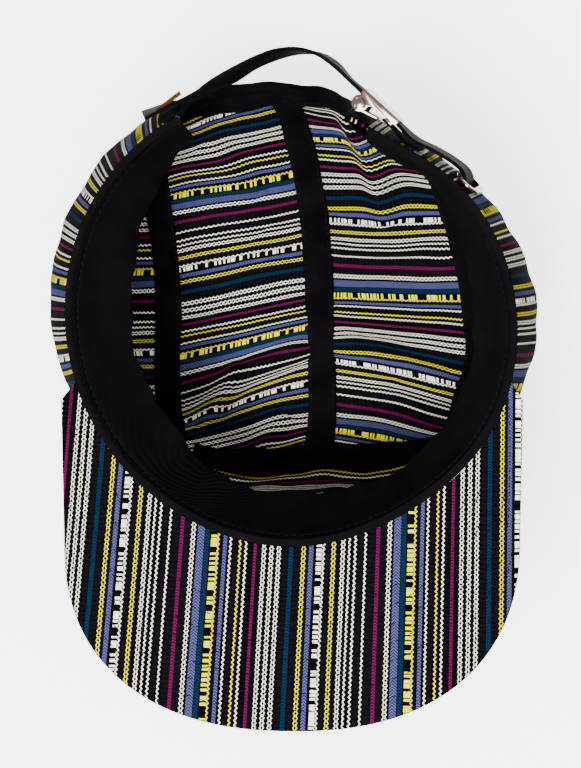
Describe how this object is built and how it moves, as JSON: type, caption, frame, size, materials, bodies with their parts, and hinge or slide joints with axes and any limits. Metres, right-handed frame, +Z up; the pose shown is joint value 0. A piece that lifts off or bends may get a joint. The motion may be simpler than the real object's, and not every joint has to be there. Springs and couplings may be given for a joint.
{
  "type": "five-panel cap",
  "caption": "Soft striped woven cap with a flat peak, taped seams, a cotton sweatband and an arched back closed by a leather strap and a metal clip, standing on its crown.",
  "frame": {"origin": "under the middle of the whole cap's box, on the surface that the crown stands on", "axes": "+Z up, from the crown's top to its rim; -Y towards the peak's front edge; +X towards the wearer's left side when the cap is worn"},
  "size_m": [0.1969, 0.2677, 0.1111],
  "materials": {
    "woven_cotton": "hand-woven cotton, black with raised coloured stripes",
    "black_cotton": "matt black cotton twill",
    "black_leather": "smooth black leather, satin",
    "brown_leather": "plain brown leather",
    "nickel": "warm grey nickel plate"
  },
  "bodies": {
    "root": {"front_panel": "woven_cotton", "top_panel_left": "woven_cotton", "top_panel_right": "woven_cotton", "side_panel_left": "woven_cotton", "side_panel_right": "woven_cotton", "peak": "woven_cotton", "sweatband": "black_cotton", "centre_seam_tape": "black_cotton", "front_seam_tape": "black_cotton", "side_seam_tape_left": "black_cotton", "side_seam_tape_right": "black_cotton", "arch_binding": "black_cotton", "buckle_tab": "black_cotton", "strap": "black_leather", "strap_label": "brown_leather", "buckle_frame": "nickel", "buckle_pin": "nickel", "buckle_lever": "nickel", "slot_eyelet": "nickel"}
  },
  "joints": []
}
